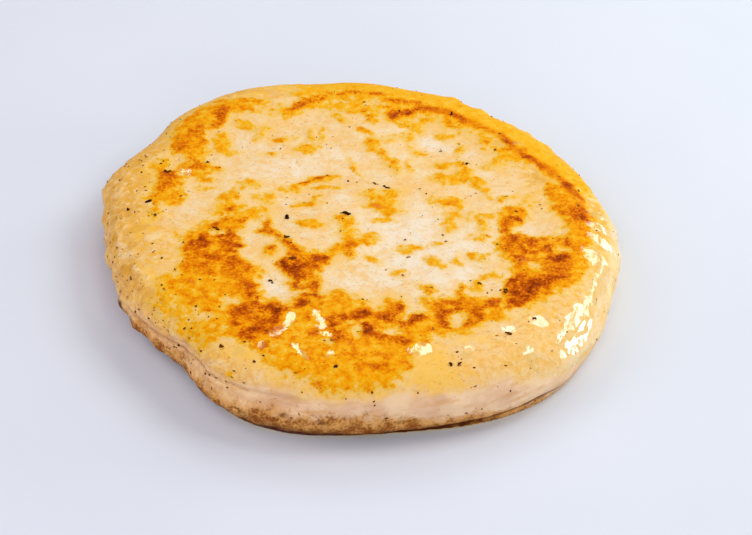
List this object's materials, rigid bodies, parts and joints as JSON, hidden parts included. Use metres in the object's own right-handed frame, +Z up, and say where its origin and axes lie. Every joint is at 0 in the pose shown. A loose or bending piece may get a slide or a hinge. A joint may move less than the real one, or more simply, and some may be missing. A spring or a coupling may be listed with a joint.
{
  "type": "pan-fried chicken patty",
  "caption": "Thick round pan-fried chicken patty with a seared golden top, rounded shoulders, an uneven bulging side and coarse pepper flakes; served alone or as a burger filling.",
  "frame": {"origin": "under the middle of the outline, on the flat base it rests on", "axes": "+Z up through the thickness; -Y is the front, the side nearest the viewer in the picture"},
  "size_m": [0.111, 0.1128, 0.015],
  "materials": {
    "seared_meat": "moist cooked white meat, seared golden to brown on the flat faces, oily on the shoulder"
  },
  "bodies": {
    "root": {"patty": "seared_meat"}
  },
  "joints": []
}
